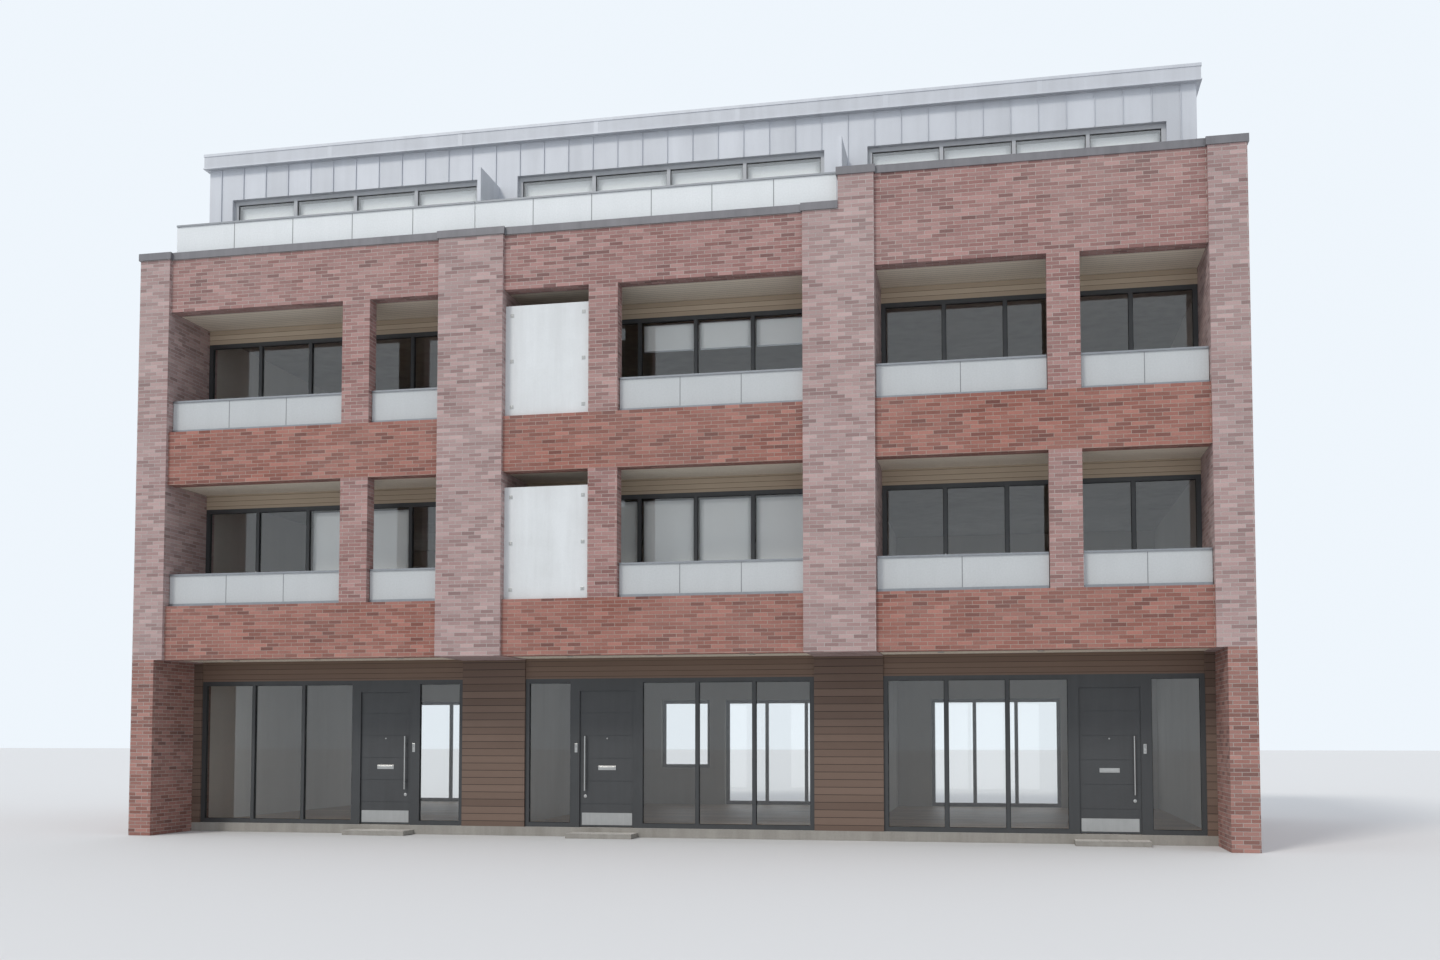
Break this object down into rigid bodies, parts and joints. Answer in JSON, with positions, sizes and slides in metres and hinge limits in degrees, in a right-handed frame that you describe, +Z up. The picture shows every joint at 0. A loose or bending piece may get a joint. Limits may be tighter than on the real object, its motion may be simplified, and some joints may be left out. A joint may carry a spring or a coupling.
{
  "type": "terraced house row",
  "caption": "Row of terraced brick houses with open loggias, a set-back ground storey and a set-back clad roof storey.",
  "frame": {"origin": "centre of the footprint, at ground level", "axes": "+X along the row to the right, seen from the front; +Y from the front into the building; +Z up"},
  "size_m": [17.9, 9.65, 12],
  "materials": {
    "brick_red": "matt brickwork",
    "brick_pale": "matt brickwork",
    "dark_metal": "satin powder coat",
    "pale_metal": "satin powder coat",
    "pale_frame": "satin powder coat",
    "cladding": "matt panels",
    "boards": "stained boards",
    "concrete": "matt concrete and screed",
    "masonry": "plastered masonry",
    "white_panel": "satin",
    "opal_glass": "satin glass",
    "clear_glass": "clear glass",
    "door_paint": "satin paint",
    "handle_steel": "brushed"
  },
  "bodies": {
    "building": {"ground_slab": "concrete", "left_end_wall": "brick_red", "right_end_wall": "brick_red", "party_walls": "masonry", "rear_wall": "brick_red", "left_end_pier": "brick_pale", "party_piers": "brick_pale", "right_end_pier": "brick_pale", "lower_band": "brick_red", "middle_band": "brick_red", "front_parapets": "brick_red", "loggia_pillars": "brick_red", "parapet_copings": "dark_metal", "first_floor_slab": "concrete", "second_floor_slab": "concrete", "terrace_slab": "concrete", "soffit_boards": "boards", "lintel_boards": "boards", "ground_wall_panels": "dark_metal", "ground_front_frames": "dark_metal", "ground_front_glass": "clear_glass", "door_frames": "dark_metal", "first_floor_frames": "dark_metal", "first_floor_glass": "clear_glass", "second_floor_frames": "dark_metal", "second_floor_glass": "clear_glass", "balustrade_shoes": "pale_metal", "balustrade_glass": "opal_glass", "balustrade_rails": "pale_metal", "privacy_panels": "white_panel", "terrace_dividers": "cladding", "rear_frames": "dark_metal", "rear_glass": "clear_glass", "window_sills": "pale_metal", "top_front_wall": "cladding", "top_rear_wall": "cladding", "top_side_walls": "cladding", "top_frames": "pale_frame", "top_glass": "clear_glass", "roof_slab": "cladding"},
    "left_door_leaf": {"left_door": "door_paint", "left_door_handle": "handle_steel"},
    "middle_door_leaf": {"middle_door": "door_paint", "middle_door_handle": "handle_steel"},
    "right_door_leaf": {"right_door": "door_paint", "right_door_handle": "handle_steel"}
  },
  "joints": [
    {"name": "left_door_hinge", "type": "hinge", "parent": "building", "child": "left_door_leaf", "pos_m": [-5.4005, -3.451, 0.159], "axis": [0, 0, 1], "range_deg": [0, 95]},
    {"name": "middle_door_hinge", "type": "hinge", "parent": "building", "child": "middle_door_leaf", "pos_m": [-0.5495, -3.451, 0.159], "axis": [0, 0, -1], "range_deg": [0, 95]},
    {"name": "right_door_hinge", "type": "hinge", "parent": "building", "child": "right_door_leaf", "pos_m": [6.4995, -3.451, 0.159], "axis": [0, 0, 1], "range_deg": [0, 95]}
  ]
}
